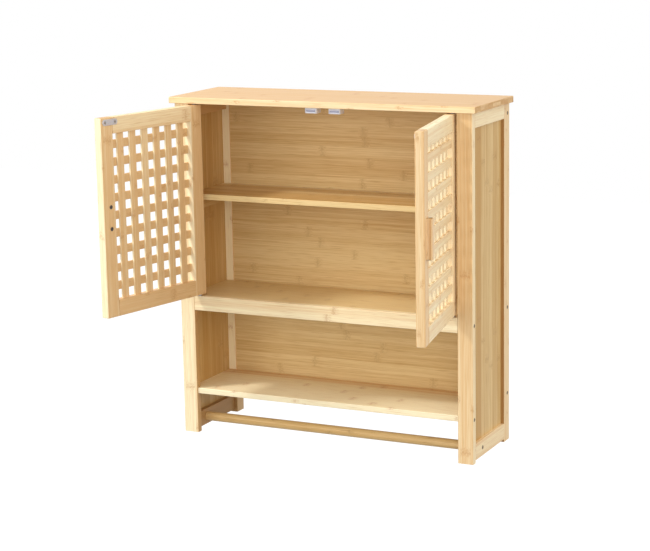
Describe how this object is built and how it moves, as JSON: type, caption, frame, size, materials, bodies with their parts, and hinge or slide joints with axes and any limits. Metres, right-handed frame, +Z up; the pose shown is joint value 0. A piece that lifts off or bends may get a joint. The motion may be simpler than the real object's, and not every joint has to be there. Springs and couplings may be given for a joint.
{
  "type": "bathroom wall cabinet",
  "caption": "Wall-hung bamboo bathroom cabinet with two hinged lattice doors over a shelved compartment, an open compartment below and a towel bar between its feet.",
  "frame": {"origin": "on the wall plane, midway between the two wall screw holes in the hanging rail", "axes": "+X to the right seen from the room, +Y into the wall, +Z up"},
  "size_m": [0.6549, 0.4415, 0.656],
  "materials": {
    "bamboo": "clear satin lacquer over laminated bamboo",
    "bamboo_inside": "clear satin lacquer over laminated bamboo",
    "bamboo_handle": "clear satin lacquer over laminated bamboo",
    "catch_plastic": "white moulded plastic",
    "plate_steel": "pressed zinc-plated steel",
    "screw_steel": "zinc-plated steel",
    "screw_dark": "dark plated steel",
    "magnet_black": "sintered ferrite magnet",
    "bush_brass": "turned brass"
  },
  "bodies": {
    "carcass": {"top_panel": "bamboo", "front_post_left": "bamboo", "front_post_right": "bamboo", "rear_post_left": "bamboo", "rear_post_right": "bamboo", "side_top_rail_left": "bamboo", "side_top_rail_right": "bamboo", "side_bottom_rail_left": "bamboo", "side_bottom_rail_right": "bamboo", "side_panel_left": "bamboo_inside", "side_panel_right": "bamboo_inside", "back_panel": "bamboo_inside", "hanging_rail": "bamboo", "middle_back_rail": "bamboo", "lower_back_rail": "bamboo", "upper_shelf": "bamboo_inside", "upper_shelf_cleat_left": "bamboo_inside", "upper_shelf_cleat_right": "bamboo_inside", "middle_shelf": "bamboo_inside", "middle_front_rail": "bamboo", "lower_shelf": "bamboo", "towel_bar": "bamboo", "towel_bar_screws": "screw_steel", "side_frame_dowels": "bamboo", "top_panel_dowels": "bamboo", "shelf_dowels": "bamboo", "frame_screws": "screw_steel", "back_screws": "screw_steel", "cleat_screws": "screw_steel", "hinge_bushes": "bush_brass", "catch_case_left": "catch_plastic", "catch_case_right": "catch_plastic", "catch_magnets": "magnet_black", "catch_pole_plates": "plate_steel", "catch_screws": "screw_steel"},
    "left_door": {"left_hinge_stile": "bamboo", "left_free_stile": "bamboo", "left_top_rail": "bamboo", "left_bottom_rail": "bamboo", "left_upright_slats": "bamboo", "left_cross_slats": "bamboo", "left_door_dowels": "bamboo", "left_handle": "bamboo_handle", "left_handle_screws": "screw_dark", "left_strike_plate": "plate_steel", "left_strike_screws": "screw_steel", "left_hinge_pins": "screw_steel"},
    "right_door": {"right_hinge_stile": "bamboo", "right_free_stile": "bamboo", "right_top_rail": "bamboo", "right_bottom_rail": "bamboo", "right_upright_slats": "bamboo", "right_cross_slats": "bamboo", "right_door_dowels": "bamboo", "right_handle": "bamboo_handle", "right_handle_screws": "screw_dark", "right_strike_plate": "plate_steel", "right_strike_screws": "screw_steel", "right_hinge_pins": "screw_steel"}
  },
  "joints": [
    {"name": "left_door_hinge", "type": "hinge", "parent": "carcass", "child": "left_door", "pos_m": [-0.262, -0.183, -0.1685], "axis": [0, 0, 1], "range_deg": [-12.5, 102.5]},
    {"name": "right_door_hinge", "type": "hinge", "parent": "carcass", "child": "right_door", "pos_m": [0.262, -0.183, -0.1685], "axis": [0, 0, 1], "range_deg": [-100.5, 14.5]}
  ]
}
